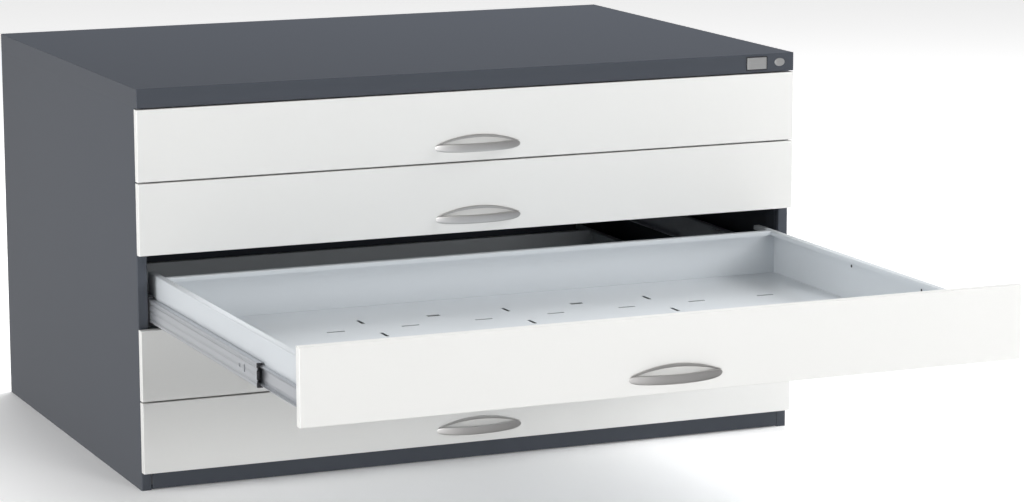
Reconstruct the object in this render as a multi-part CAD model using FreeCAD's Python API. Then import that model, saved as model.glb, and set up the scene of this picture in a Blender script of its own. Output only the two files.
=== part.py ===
import FreeCAD, Part
import os

# Flat file cabinet for DIN A0 sheets: a folded-steel carcass and five equal drawers, each hung on a
# pair of three-member ball-bearing slides.  Millimetres.  +X is right, +Y is back and +Z is up.  The
# origin is the middle of the cabinet's footprint, on the floor.  The middle drawer is modelled open.

# ---- overall size -------------------------------------------------------------------------------
WIDTH = 1350.0
DEPTH = 960.0
HEIGHT = 760.0
FRONT_Y = -DEPTH / 2
BACK_Y = DEPTH / 2
HALF_WIDTH = WIDTH / 2

# ---- drawer stack -------------------------------------------------------------------------------
DRAWERS = 5
FRONT_HEIGHT = 134.6
FRONT_GAP = 3.0
LOWEST_FRONT_Z = 36.0
PITCH = FRONT_HEIGHT + FRONT_GAP
OPEN_DRAWER = 3
OPEN_TRAVEL = 880.0
MIDDLE_RATIO = 0.7
OUTER_CAGE_RATIO = MIDDLE_RATIO / 2
INNER_CAGE_RATIO = (1 + MIDDLE_RATIO) / 2

# ---- carcass ------------------------------------------------------------------------------------
TOP_THICKNESS = 36.0
BODY_SHEET = 1.2
TOP_EDGE_RADIUS = 1.5
TOP_RETURN = 20.0
TOP_UNDERSIDE_Z = HEIGHT - TOP_THICKNESS
STIFFENER_YS = (-240.0, 0.0, 240.0)
STIFFENER_CROWN = 50.0
STIFFENER_BRIM = 20.0
STIFFENER_LENGTH = 1300.0
CARCASS_FRONT_Y = FRONT_Y + 19.0
POST_WIDTH = 20.0
POST_LIP = 12.0
REAR_FLANGE = 35.0
FOOT_FLANGE = 18.0
BACK_SHEET = 1.0
BACK_CLEARANCE = 0.5
BASE_TOP_Z = 31.8
BASE_CHANNEL_WIDTH = 80.0
BASE_CHANNEL_BRIM = 20.0
PLINTH_TOP_Z = 33.0
PLINTH_BOTTOM_Z = 2.0
PLINTH_DEPTH = 30.0
PLINTH_END_GAP = 1.0
PLINTH_SHEET = 1.2

# ---- uprights that carry the slides -------------------------------------------------------------
UPRIGHT_YS = (-425.0, 0.0, 410.0)
UPRIGHT_WIDTH = 40.0
SLIDE_PLANE_X = 654.5

# ---- levelling feet -----------------------------------------------------------------------------
FOOT_RADIUS = 20.0
FOOT_HEIGHT = 8.0
FOOT_STUD_RADIUS = 5.0
FOOT_X = 600.0
FOOT_YS = (-390.0, 400.0)

# ---- three-member slide, seen end on: u runs from the cabinet to the drawer, v is the half height -
SLIDE_THICKNESS = 16.0
SLIDE_LENGTH = 900.0
SLIDE_FRONT_Y = -458.0
SLIDE_REAR_Y = SLIDE_FRONT_Y + SLIDE_LENGTH
SLIDE_ABOVE_FRONT_EDGE = 30.0
RAIL_SHEET = 1.5
OUTER_V = 26.5
OUTER_U = (0.0, 13.0)
OUTER_LIP = 1.2
MIDDLE_V = 21.6
MIDDLE_U = (3.0, 14.0)
INNER_V = 16.9
INNER_U = (6.0, SLIDE_THICKNESS)
CAGE_SHEET = 0.7
OUTER_CAGE_V = 24.6
OUTER_CAGE_U = (1.9, 11.0)
OUTER_CAGE_STRIP = 2.6
OUTER_CAGE_SPAN = (-140.0, 120.0)
INNER_CAGE_V = 19.7
INNER_CAGE_U = (4.9, 13.4)
INNER_CAGE_STRIP = 2.3
INNER_CAGE_SPAN = (-300.0, 300.0)
BUMPER_SPAN = (-463.0, -441.0)
BUMPER_U = (4.5, 5.6)
BUMPER_LUG = (17.3, 20.1)
BUMPER_LUG_U = 12.5
BUMPER_CAP_U = (2.9, 5.8)
BUMPER_CAP_V = 21.2
RAIL_HOLE_RADIUS = 3.3
MIDDLE_HOLE_PLACES = ((92.0, 0.0),)
MIDDLE_SLOT_Y = SLIDE_FRONT_Y + 65.0
INNER_SLOT_Y = SLIDE_FRONT_Y + 36.0
SLOT_HALF_HEIGHT = 7.0
INNER_HOLE_PLACES = ((12.0, -5.0), (21.0, 4.0))

# ---- drawer box ---------------------------------------------------------------------------------
FRONT_DEPTH = 16.0
FRONT_SHEET = 1.0
FRONT_EDGE_RADIUS = 1.2
FRONT_RETURN = 12.0
BOX_SHEET = 1.0
WALL_X = SLIDE_PLANE_X - SLIDE_THICKNESS
WALL_BOTTOM = 7.0
WALL_TOP = 95.0
WALL_REAR_Y = 468.0
WALL_FRONT_Y = FRONT_Y + FRONT_DEPTH
HEM_WIDTH = 14.0
HEM_DROP = 8.5
HEM_CLEARANCE = 0.1
BACK_WALL_Y = 405.0
FLOOR_BOTTOM = 8.0
WALL_HOLE_RADIUS = 3.0
WALL_HOLE_HEIGHT = 76.0
WALL_HOLE_SETBACKS = (290.0, 560.0)
ACCESS_HOLE_RADIUS = 7.0

# ---- openings in the drawer floor, set out from the back wall -----------------------------------
SLOT_LENGTH = 35.0
SLOT_WIDTH = 7.0
CROSS_SLOT_XS = (-512.75, -366.25, -219.75, -73.25, 73.25, 219.75, 366.25, 512.75)
CROSS_SLOT_ROWS = (209.0, 393.0)
LONG_SLOT_XS = (-293.0, 0.0, 293.0)
LONG_SLOT_ROWS = (140.0, 267.0, 335.0)
TAB_HOLE = (26.0, 13.0)
TAB_HOLE_XS = (-146.5, 146.5)
TAB_HOLE_ROW = 138.0

# ---- stiffening channels under the drawer floor, one below each row of openings -----------------
FLOOR_CHANNEL_DEPTH = 7.0
FLOOR_CHANNEL_BRIM = 6.0
FLOOR_CHANNEL_END_GAP = 30.0
NARROW_CHANNEL = 24.0
WIDE_CHANNEL = 44.0
FLOOR_CHANNELS = ((140.0, WIDE_CHANNEL), (209.0, NARROW_CHANNEL), (267.0, WIDE_CHANNEL),
                  (335.0, WIDE_CHANNEL), (393.0, NARROW_CHANNEL))

# ---- bow handle ---------------------------------------------------------------------------------
HANDLE_ABOVE_EDGE = 28.0
HANDLE_HALF_LENGTH = 88.0
HANDLE_BOW = 24.0
HANDLE_BAND = 5.0
HANDLE_END = 14.0
HANDLE_HALF_HEIGHT = 8.2
RIM_START = 6.0
RIM_RISE = 17.0
RIM_WIDTH = 6.0
RIM_INSET = 2.0
RIM_DEPTH = 4.0
HANDLE_SCREW_X = 78.0
SCREW_RADIUS = 2.0
SCREW_CLEARANCE = 0.25
SCREW_HEAD_RADIUS = 3.5
SCREW_HEAD_HEIGHT = 2.5
SCREW_BITE = 3.5

SIDES = (-1, 1)


def block(x, y, z):
    """Box between two corners, each argument a (low, high) pair in any order."""
    low = FreeCAD.Vector(min(x), min(y), min(z))
    return Part.makeBox(abs(x[1] - x[0]), abs(y[1] - y[0]), abs(z[1] - z[0]), low)


def joined(pieces):
    """One solid from touching or overlapping pieces, with the seams between them removed."""
    shape = pieces[0].fuse(pieces[1:]) if len(pieces) > 1 else pieces[0]
    return shape.removeSplitter()


def cylinder_x(radius, x, y, z):
    """Cylinder along X between the two x values."""
    start = FreeCAD.Vector(min(x), y, z)
    return Part.makeCylinder(radius, abs(x[1] - x[0]), start, FreeCAD.Vector(1, 0, 0))


def cylinder_y(radius, y, x, z):
    """Cylinder along Y between the two y values."""
    start = FreeCAD.Vector(x, min(y), z)
    return Part.makeCylinder(radius, abs(y[1] - y[0]), start, FreeCAD.Vector(0, 1, 0))


def cylinder_z(radius, z, x, y):
    """Cylinder along Z between the two z values."""
    start = FreeCAD.Vector(x, y, min(z))
    return Part.makeCylinder(radius, abs(z[1] - z[0]), start, FreeCAD.Vector(0, 0, 1))


def mirrored(side, x):
    """An x pair given for the right-hand side, put on the side asked for."""
    return (side * x[0], side * x[1])


def round_edges(shape, radius, wanted):
    """Fillet the edges whose middle point satisfies the test."""
    edges = [edge for edge in shape.Edges if wanted(edge.CenterOfMass)]
    return shape.makeFillet(radius, edges)


def arc(start, middle, end):
    """Circular arc edge through three points."""
    return Part.Arc(FreeCAD.Vector(*start), FreeCAD.Vector(*middle), FreeCAD.Vector(*end)).toShape()


def line(start, end):
    """Straight edge between two points."""
    return Part.LineSegment(FreeCAD.Vector(*start), FreeCAD.Vector(*end)).toShape()


def save(name, solids):
    """Write one node, made of one solid or of several separate ones."""
    shape = solids[0] if len(solids) == 1 else Part.makeCompound(solids)
    shape.exportStep("parts/" + name + ".step")


# ---- carcass ------------------------------------------------------------------------------------
def top_cover():
    """Shallow steel pan turned upside down, with returns folded in under its skirt."""
    skin = block((-HALF_WIDTH, HALF_WIDTH), (FRONT_Y, BACK_Y), (TOP_UNDERSIDE_Z, HEIGHT))
    skin = round_edges(skin, TOP_EDGE_RADIUS, lambda p: p.z > TOP_UNDERSIDE_Z + 1)
    inner_x = HALF_WIDTH - BODY_SHEET
    inner_y = BACK_Y - BODY_SHEET
    inner_z = (TOP_UNDERSIDE_Z + BODY_SHEET, HEIGHT - BODY_SHEET)
    hollow = block((-inner_x, inner_x), (-inner_y, inner_y), inner_z)
    mouth_x = HALF_WIDTH - TOP_RETURN
    mouth_y = BACK_Y - TOP_RETURN
    mouth_z = (TOP_UNDERSIDE_Z - 1, TOP_UNDERSIDE_Z + 2 * BODY_SHEET)
    mouth = block((-mouth_x, mouth_x), (-mouth_y, mouth_y), mouth_z)
    return [skin.cut([hollow, mouth])]


def top_stiffeners():
    """Hat channels across the cabinet, welded to the underside of the top skin."""
    channels = []
    for y in STIFFENER_YS:
        half = STIFFENER_CROWN / 2
        x = (-STIFFENER_LENGTH / 2, STIFFENER_LENGTH / 2)
        roof = HEIGHT - BODY_SHEET
        floor = TOP_UNDERSIDE_Z + BODY_SHEET
        crown = block(x, (y - half, y + half), (floor, floor + BODY_SHEET))
        parts = [crown]
        for side in SIDES:
            web_y = (y + side * half, y + side * (half - BODY_SHEET))
            brim_y = (y + side * half, y + side * (half + STIFFENER_BRIM))
            parts.append(block(x, web_y, (floor, roof)))
            parts.append(block(x, brim_y, (roof - BODY_SHEET, roof)))
        channels.append(joined(parts))
    return channels


def side_panel(side):
    """Outer side sheet, folded in at the front as a post, at the back and along the floor."""
    outer = HALF_WIDTH
    inner = HALF_WIDTH - BODY_SHEET
    post = HALF_WIDTH - POST_WIDTH
    y = (CARCASS_FRONT_Y, BACK_Y)
    z = (0.0, TOP_UNDERSIDE_Z)
    sheet = block(mirrored(side, (inner, outer)), y, z)
    front = block(mirrored(side, (post, outer)), (y[0], y[0] + BODY_SHEET), z)
    lip = block(mirrored(side, (post, post + BODY_SHEET)), (y[0], y[0] + POST_LIP), z)
    rear = block(mirrored(side, (outer - REAR_FLANGE, outer)), (y[1] - BODY_SHEET, y[1]), z)
    foot_y = (y[0] + POST_LIP, y[1])
    foot = block(mirrored(side, (outer - FOOT_FLANGE, outer)), foot_y, (0.0, BODY_SHEET))
    return [joined([sheet, front, lip, rear, foot])]


def back_panel():
    """Rear sheet, held between the side panels' rear flanges and the base, folded at the top."""
    reach = HALF_WIDTH - BODY_SHEET - BACK_CLEARANCE
    face = BACK_Y - BODY_SHEET
    z = (BASE_TOP_Z - BACK_SHEET, TOP_UNDERSIDE_Z)
    sheet = block((-reach, reach), (face - BACK_SHEET, face), z)
    fold = block((-reach, reach), (face - REAR_FLANGE, face), (z[1] - BACK_SHEET, z[1]))
    return [joined([sheet, fold])]


def base_panel():
    """Bottom sheet, and the hat channel welded under its middle, which stands on the floor."""
    reach = HALF_WIDTH - BODY_SHEET - BACK_CLEARANCE
    y = (CARCASS_FRONT_Y + POST_LIP, BACK_Y - BODY_SHEET - 2 * BACK_SHEET)
    underside = BASE_TOP_Z - BACK_SHEET
    sheet = block((-reach, reach), y, (underside, BASE_TOP_Z))
    half = BASE_CHANNEL_WIDTH / 2
    channel_y = (CARCASS_FRONT_Y + PLINTH_DEPTH + 1, y[1])
    parts = [block((-half, half), channel_y, (0.0, BACK_SHEET))]
    for side in SIDES:
        web_x = (side * half, side * (half - BACK_SHEET))
        brim_x = (side * half, side * (half + BASE_CHANNEL_BRIM))
        parts.append(block(web_x, channel_y, (0.0, underside)))
        parts.append(block(brim_x, channel_y, (underside - BACK_SHEET, underside)))
    return [sheet, joined(parts)]


def plinth_panel():
    """Plinth between the two posts, folded back along its top and bottom."""
    reach = HALF_WIDTH - POST_WIDTH - PLINTH_END_GAP
    y = (CARCASS_FRONT_Y, CARCASS_FRONT_Y + PLINTH_DEPTH)
    x = (-reach, reach)
    web = block(x, (y[0], y[0] + PLINTH_SHEET), (PLINTH_BOTTOM_Z, PLINTH_TOP_Z))
    top = block(x, y, (PLINTH_TOP_Z - PLINTH_SHEET, PLINTH_TOP_Z))
    bottom = block(x, y, (PLINTH_BOTTOM_Z, PLINTH_BOTTOM_Z + PLINTH_SHEET))
    return [joined([web, top, bottom])]


def uprights():
    """Three vertical channels on each side, which the outer rails are hooked into."""
    channels = []
    outer = HALF_WIDTH - BODY_SHEET
    z = (BASE_TOP_Z, TOP_UNDERSIDE_Z)
    for side in SIDES:
        for y in UPRIGHT_YS:
            half = UPRIGHT_WIDTH / 2
            face_x = mirrored(side, (SLIDE_PLANE_X, SLIDE_PLANE_X + BODY_SHEET))
            parts = [block(face_x, (y - half, y + half), z)]
            for end in SIDES:
                web_y = (y + end * half, y + end * (half - BODY_SHEET))
                parts.append(block(mirrored(side, (SLIDE_PLANE_X, outer)), web_y, z))
            channels.append(joined(parts))
    return channels


def levelling_feet():
    """Four screw-in feet under the base sheet."""
    feet = []
    for x in (-FOOT_X, FOOT_X):
        for y in FOOT_YS:
            pad = cylinder_z(FOOT_RADIUS, (0.0, FOOT_HEIGHT), x, y)
            stud = cylinder_z(FOOT_STUD_RADIUS, (0.0, BASE_TOP_Z - BACK_SHEET), x, y)
            feet.append(joined([pad, stud]))
    return feet


# ---- slides -------------------------------------------------------------------------------------
def slide_block(side, u, y, v, centre):
    """Box in slide coordinates: u from the cabinet towards the drawer, v up from the slide's centre."""
    x = mirrored(side, (SLIDE_PLANE_X - u[0], SLIDE_PLANE_X - u[1]))
    return block(x, y, (centre + v[0], centre + v[1]))


def channel_rail(side, u, half, web_at_start, y, centre):
    """Rail of C section, its web at the cabinet end or at the drawer end of u."""
    if web_at_start:
        web_u = (u[0], u[0] + RAIL_SHEET)
    else:
        web_u = (u[1] - RAIL_SHEET, u[1])
    parts = [slide_block(side, web_u, y, (-half, half), centre)]
    for end in SIDES:
        parts.append(slide_block(side, u, y, (end * half, end * (half - RAIL_SHEET)), centre))
    return parts


def outer_rail(side, centre):
    """Cabinet member, with small lips that keep the ball cage in."""
    y = (SLIDE_FRONT_Y, SLIDE_REAR_Y)
    parts = channel_rail(side, OUTER_U, OUTER_V, True, y, centre)
    lip_u = (OUTER_U[1] - RAIL_SHEET, OUTER_U[1])
    for end in SIDES:
        lip_v = (end * OUTER_V, end * (OUTER_V - RAIL_SHEET - OUTER_LIP))
        parts.append(slide_block(side, lip_u, y, lip_v, centre))
    return joined(parts)


def rail_cutters(side, centre, shift, holes, slot_y):
    """Round holes at (distance along, height) places and one upright slot, through a rail's web."""
    hole_x = mirrored(side, (SLIDE_PLANE_X, WALL_X))
    cutters = []
    for along, up in holes:
        hole_y = SLIDE_FRONT_Y - shift + along
        cutters.append(cylinder_x(RAIL_HOLE_RADIUS, hole_x, hole_y, centre + up))
    y = (slot_y - shift - RAIL_HOLE_RADIUS, slot_y - shift + RAIL_HOLE_RADIUS)
    cutters.append(block(hole_x, y, (centre - SLOT_HALF_HEIGHT, centre + SLOT_HALF_HEIGHT)))
    return cutters


def middle_rail(side, centre, shift):
    """Intermediate member, with a round hole and an upright slot near its front end."""
    y = (SLIDE_FRONT_Y - shift, SLIDE_REAR_Y - shift)
    rail = joined(channel_rail(side, MIDDLE_U, MIDDLE_V, True, y, centre))
    return rail.cut(rail_cutters(side, centre, shift, MIDDLE_HOLE_PLACES, MIDDLE_SLOT_Y))


def inner_rail(side, centre, shift):
    """Drawer member, fixed to the side wall, with two holes and a slot at its front end."""
    y = (SLIDE_FRONT_Y - shift, SLIDE_REAR_Y - shift)
    rail = joined(channel_rail(side, INNER_U, INNER_V, False, y, centre))
    return rail.cut(rail_cutters(side, centre, shift, INNER_HOLE_PLACES, INNER_SLOT_Y))


def ball_cage(side, centre, shift, span, u, half, strip):
    """Ball retainer: a thin web between two members, with a thicker strip in each raceway."""
    y = (span[0] - shift, span[1] - shift)
    parts = [slide_block(side, (u[0], u[0] + CAGE_SHEET), y, (-half, half), centre)]
    for end in SIDES:
        parts.append(slide_block(side, u, y, (end * half, end * (half - strip)), centre))
    return joined(parts)


def bumper(side, centre, shift):
    """Plastic end stop, clipped into the middle rail and capping its front end."""
    y = (BUMPER_SPAN[0] - shift, BUMPER_SPAN[1] - shift)
    cap_y = (BUMPER_SPAN[0] - shift, SLIDE_FRONT_Y - shift)
    parts = [slide_block(side, BUMPER_U, y, (-BUMPER_LUG[1], BUMPER_LUG[1]), centre)]
    parts.append(slide_block(side, BUMPER_CAP_U, cap_y, (-BUMPER_CAP_V, BUMPER_CAP_V), centre))
    for end in SIDES:
        lug_v = (end * BUMPER_LUG[0], end * BUMPER_LUG[1])
        parts.append(slide_block(side, (BUMPER_U[0], BUMPER_LUG_U), y, lug_v, centre))
        cap_v = (end * BUMPER_LUG[0], end * BUMPER_CAP_V)
        parts.append(slide_block(side, (BUMPER_CAP_U[0], BUMPER_LUG_U), cap_y, cap_v, centre))
    return joined(parts)


# ---- drawer -------------------------------------------------------------------------------------
def drawer_front(z, shift):
    """Front pan with rounded outer edges and a narrow return round its open back."""
    y = (FRONT_Y - shift, WALL_FRONT_Y - shift)
    top = z + FRONT_HEIGHT
    skin = block((-HALF_WIDTH, HALF_WIDTH), y, (z, top))
    skin = round_edges(skin, FRONT_EDGE_RADIUS, lambda p: p.y < y[0] + 1)
    inner_x = HALF_WIDTH - FRONT_SHEET
    inner_z = (z + FRONT_SHEET, top - FRONT_SHEET)
    hollow = block((-inner_x, inner_x), (y[0] + FRONT_SHEET, y[1] - FRONT_SHEET), inner_z)
    mouth_x = HALF_WIDTH - FRONT_RETURN
    mouth_z = (z + FRONT_RETURN, top - FRONT_RETURN)
    mouth = block((-mouth_x, mouth_x), (y[1] - 2 * FRONT_SHEET, y[1] + 1), mouth_z)
    cuts = [hollow, mouth]
    for side in SIDES:
        radius = SCREW_RADIUS + SCREW_CLEARANCE
        cuts.append(cylinder_y(radius, (y[0] - 1, y[0] + 2), side * HANDLE_SCREW_X, z + HANDLE_ABOVE_EDGE))
    return [skin.cut(cuts)]


def side_walls(z, shift):
    """Two side walls with a hem turned inwards and down, and two small round holes in the right one."""
    walls = []
    y = (WALL_FRONT_Y - shift, WALL_REAR_Y - shift)
    for side in SIDES:
        web = block(mirrored(side, (WALL_X - BOX_SHEET, WALL_X)), y, (z + WALL_BOTTOM, z + WALL_TOP))
        hem_z = (z + WALL_TOP - BOX_SHEET, z + WALL_TOP)
        hem = block(mirrored(side, (WALL_X - HEM_WIDTH, WALL_X)), y, hem_z)
        lip_x = mirrored(side, (WALL_X - HEM_WIDTH, WALL_X - HEM_WIDTH + BOX_SHEET))
        lip = block(lip_x, y, (z + WALL_TOP - HEM_DROP, z + WALL_TOP))
        walls.append(joined([web, hem, lip]))
    holes = []
    for setback in WALL_HOLE_SETBACKS:
        hole_x = (WALL_X - 2 * BOX_SHEET, WALL_X + 1)
        holes.append(cylinder_x(WALL_HOLE_RADIUS, hole_x, FRONT_Y - shift + setback, z + WALL_HOLE_HEIGHT))
    walls[SIDES.index(1)] = walls[SIDES.index(1)].cut(holes)
    return walls


def end_walls(z, shift):
    """Hemmed back wall, and the inner front wall with two holes for reaching the handle's screws."""
    reach = WALL_X - BOX_SHEET
    hem_reach = WALL_X - HEM_WIDTH - HEM_CLEARANCE
    notch_z = z + WALL_TOP - HEM_DROP - HEM_CLEARANCE
    back_y = BACK_WALL_Y - shift
    lower = block((-reach, reach), (back_y, back_y + BOX_SHEET), (z + WALL_BOTTOM, notch_z))
    upper = block((-hem_reach, hem_reach), (back_y, back_y + BOX_SHEET), (notch_z, z + WALL_TOP))
    hem_y = (back_y + BOX_SHEET - HEM_WIDTH, back_y + BOX_SHEET)
    hem = block((-hem_reach, hem_reach), hem_y, (z + WALL_TOP - BOX_SHEET, z + WALL_TOP))
    lip_y = (hem_y[0], hem_y[0] + BOX_SHEET)
    lip = block((-hem_reach, hem_reach), lip_y, (z + WALL_TOP - HEM_DROP, z + WALL_TOP))
    front_y = (WALL_FRONT_Y - shift, WALL_FRONT_Y - shift + BOX_SHEET)
    inner_front = block((-reach, reach), front_y, (z + WALL_BOTTOM, notch_z))
    holes = []
    for side in SIDES:
        hole_y = (front_y[0] - 1, front_y[1] + 1)
        holes.append(cylinder_y(ACCESS_HOLE_RADIUS, hole_y, side * HANDLE_SCREW_X, z + HANDLE_ABOVE_EDGE))
    return [joined([lower, upper, hem, lip]), inner_front.cut(holes)]


def floor_cutouts(z, shift):
    """Slots and tab holes of the floor, repeated forwards from the back wall."""
    cut_z = (z, z + 2 * FLOOR_BOTTOM)
    places = []
    for x in CROSS_SLOT_XS:
        for row in CROSS_SLOT_ROWS:
            places.append((x, row, SLOT_LENGTH, SLOT_WIDTH))
    for x in LONG_SLOT_XS:
        for row in LONG_SLOT_ROWS:
            places.append((x, row, SLOT_WIDTH, SLOT_LENGTH))
    for x in TAB_HOLE_XS:
        places.append((x, TAB_HOLE_ROW, TAB_HOLE[0], TAB_HOLE[1]))
    cuts = []
    for x, row, size_x, size_y in places:
        y = BACK_WALL_Y - row - shift
        cuts.append(block((x - size_x / 2, x + size_x / 2), (y - size_y / 2, y + size_y / 2), cut_z))
    return cuts


def floor_channel(z, y, width):
    """Hat channel across the drawer, welded by its brims to the underside of the floor."""
    reach = WALL_X - FLOOR_CHANNEL_END_GAP
    x = (-reach, reach)
    roof = z + FLOOR_BOTTOM
    crown_z = (roof - FLOOR_CHANNEL_DEPTH, roof - FLOOR_CHANNEL_DEPTH + BOX_SHEET)
    half = width / 2
    parts = [block(x, (y - half, y + half), crown_z)]
    for side in SIDES:
        parts.append(block(x, (y + side * half, y + side * (half - BOX_SHEET)), (crown_z[0], roof)))
        brim_y = (y + side * half, y + side * (half + FLOOR_CHANNEL_BRIM))
        parts.append(block(x, brim_y, (roof - BOX_SHEET, roof)))
    return joined(parts)


def drawer_floor(z, shift):
    """Flat floor sheet between the four walls, and the channels that stiffen it."""
    reach = WALL_X - BOX_SHEET
    y = (WALL_FRONT_Y + BOX_SHEET - shift, BACK_WALL_Y - shift)
    sheet = block((-reach, reach), y, (z + FLOOR_BOTTOM, z + FLOOR_BOTTOM + BOX_SHEET))
    channels = [floor_channel(z, BACK_WALL_Y - row - shift, width) for row, width in FLOOR_CHANNELS]
    return [sheet.cut(floor_cutouts(z, shift))] + channels


def handle(z, shift):
    """Bow handle: a band that bows out from the front, and a thin rim that arches above the gap."""
    low = z + HANDLE_ABOVE_EDGE - HANDLE_HALF_HEIGHT
    face = FRONT_Y - shift
    inner_half = HANDLE_HALF_LENGTH - HANDLE_END
    band_ends = [(-HANDLE_HALF_LENGTH, face, low), (HANDLE_HALF_LENGTH, face, low)]
    inner_ends = [(-inner_half, face, low), (inner_half, face, low)]
    outer_arc = arc(band_ends[0], (0, face - HANDLE_BOW, low), band_ends[1])
    inner_arc = arc(inner_ends[1], (0, face - HANDLE_BOW + HANDLE_BAND, low), inner_ends[0])
    outline = [outer_arc, line(band_ends[1], inner_ends[1]), inner_arc, line(inner_ends[0], band_ends[0])]
    band_face = Part.Face(Part.Wire(outline))
    band = band_face.extrude(FreeCAD.Vector(0, 0, 2 * HANDLE_HALF_HEIGHT))
    rim_half = HANDLE_HALF_LENGTH - RIM_INSET
    start = z + HANDLE_ABOVE_EDGE + RIM_START
    crest = start + RIM_RISE
    rim_ends = [(-rim_half, face, start), (rim_half, face, start)]
    gap_ends = [(-rim_half + RIM_WIDTH, face, start), (rim_half - RIM_WIDTH, face, start)]
    rim_outer = arc(rim_ends[0], (0, face, crest), rim_ends[1])
    rim_inner = arc(gap_ends[1], (0, face, crest - RIM_WIDTH), gap_ends[0])
    rim_outline = [rim_outer, line(rim_ends[1], gap_ends[1]), rim_inner, line(gap_ends[0], rim_ends[0])]
    rim = Part.Face(Part.Wire(rim_outline)).extrude(FreeCAD.Vector(0, -RIM_DEPTH, 0))
    bores = []
    for side in SIDES:
        bore_y = (face + 1, face - SCREW_BITE)
        bores.append(cylinder_y(SCREW_RADIUS, bore_y, side * HANDLE_SCREW_X, z + HANDLE_ABOVE_EDGE))
    return [joined([band, rim]).cut(bores)]


def handle_screws(z, shift):
    """Two screws driven forwards through the front's skin into the ends of the handle."""
    screws = []
    face = FRONT_Y - shift
    head_y = face + FRONT_SHEET
    for side in SIDES:
        x = side * HANDLE_SCREW_X
        height = z + HANDLE_ABOVE_EDGE
        shank = cylinder_y(SCREW_RADIUS, (face - SCREW_BITE, head_y), x, height)
        head = cylinder_y(SCREW_HEAD_RADIUS, (head_y, head_y + SCREW_HEAD_HEIGHT), x, height)
        screws.append(joined([shank, head]))
    return screws


def build_drawer(number):
    """Write the nodes of one drawer, its slides' moving members included."""
    z = LOWEST_FRONT_Z + (DRAWERS - number) * PITCH
    centre = z + SLIDE_ABOVE_FRONT_EDGE
    travel = OPEN_TRAVEL if number == OPEN_DRAWER else 0.0
    outer_cage_shift = OUTER_CAGE_RATIO * travel
    inner_cage_shift = INNER_CAGE_RATIO * travel
    middle_shift = MIDDLE_RATIO * travel
    outer_cage = (outer_cage_shift, OUTER_CAGE_SPAN, OUTER_CAGE_U, OUTER_CAGE_V, OUTER_CAGE_STRIP)
    inner_cage = (inner_cage_shift, INNER_CAGE_SPAN, INNER_CAGE_U, INNER_CAGE_V, INNER_CAGE_STRIP)
    prefix = "drawer_" + str(number) + "_"
    save(prefix + "front", drawer_front(z, travel))
    save(prefix + "side_walls", side_walls(z, travel))
    save(prefix + "end_walls", end_walls(z, travel))
    save(prefix + "floor", drawer_floor(z, travel))
    save(prefix + "handle", handle(z, travel))
    save(prefix + "handle_screws", handle_screws(z, travel))
    save(prefix + "inner_rails", [inner_rail(side, centre, travel) for side in SIDES])
    middle = [middle_rail(side, centre, middle_shift) for side in SIDES]
    save(prefix + "middle_rails", middle + [bumper(side, centre, middle_shift) for side in SIDES])
    save(prefix + "outer_cages", [ball_cage(side, centre, *outer_cage) for side in SIDES])
    save(prefix + "inner_cages", [ball_cage(side, centre, *inner_cage) for side in SIDES])


def outer_rails():
    """Every cabinet member of the slides, two to a drawer."""
    rails = []
    for number in range(1, DRAWERS + 1):
        centre = LOWEST_FRONT_Z + (DRAWERS - number) * PITCH + SLIDE_ABOVE_FRONT_EDGE
        rails += [outer_rail(side, centre) for side in SIDES]
    return rails


os.makedirs("parts", exist_ok=True)
save("top_cover", top_cover())
save("top_stiffeners", top_stiffeners())
save("side_panel_left", side_panel(-1))
save("side_panel_right", side_panel(1))
save("back_panel", back_panel())
save("base_panel", base_panel())
save("plinth_panel", plinth_panel())
save("uprights", uprights())
save("outer_rails", outer_rails())
save("levelling_feet", levelling_feet())
for drawer_number in range(1, DRAWERS + 1):
    build_drawer(drawer_number)
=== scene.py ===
"""Flat file cabinet: painted steel carcass, five drawers on telescopic slides, bow handles.

Every piece is built in metres in the frame's own coordinates: +X right, +Y back, +Z up, with the
origin on the floor under the middle of the cabinet.
"""
import logging
import math
from dataclasses import dataclass
from enum import Enum
from typing import Sequence

import bmesh
import bpy
from mathutils import Matrix, Vector


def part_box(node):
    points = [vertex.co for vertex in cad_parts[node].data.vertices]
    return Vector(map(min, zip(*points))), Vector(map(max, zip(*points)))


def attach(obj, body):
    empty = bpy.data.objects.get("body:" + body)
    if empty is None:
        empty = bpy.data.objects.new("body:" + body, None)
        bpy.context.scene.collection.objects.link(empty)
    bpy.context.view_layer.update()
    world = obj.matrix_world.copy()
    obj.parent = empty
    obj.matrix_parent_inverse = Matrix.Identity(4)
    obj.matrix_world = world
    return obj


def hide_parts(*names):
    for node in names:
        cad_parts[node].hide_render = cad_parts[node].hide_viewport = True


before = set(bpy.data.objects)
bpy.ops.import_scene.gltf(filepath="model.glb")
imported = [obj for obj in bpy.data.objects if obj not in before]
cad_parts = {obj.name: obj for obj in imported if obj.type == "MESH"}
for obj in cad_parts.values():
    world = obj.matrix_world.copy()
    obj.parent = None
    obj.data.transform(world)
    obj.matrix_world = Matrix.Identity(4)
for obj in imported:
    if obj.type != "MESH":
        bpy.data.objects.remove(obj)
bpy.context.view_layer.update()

log = logging.getLogger("flat_file_cabinet")

Point2 = tuple[float, float]
Colour = tuple[float, float, float]

MM = 0.001
SIDES = (-1, 1)
DRAWERS = 5


class Axis(Enum):
    """Direction that a section is drawn out along; the section lies in the other two axes."""

    X = 0
    Y = 1
    Z = 2

    def point(self, along: float, section: Point2) -> Vector:
        """Point at a distance along the axis, with the section's two coordinates in x, y, z order."""
        values = list(section)
        values.insert(self.value, along)
        return Vector(values)


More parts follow.
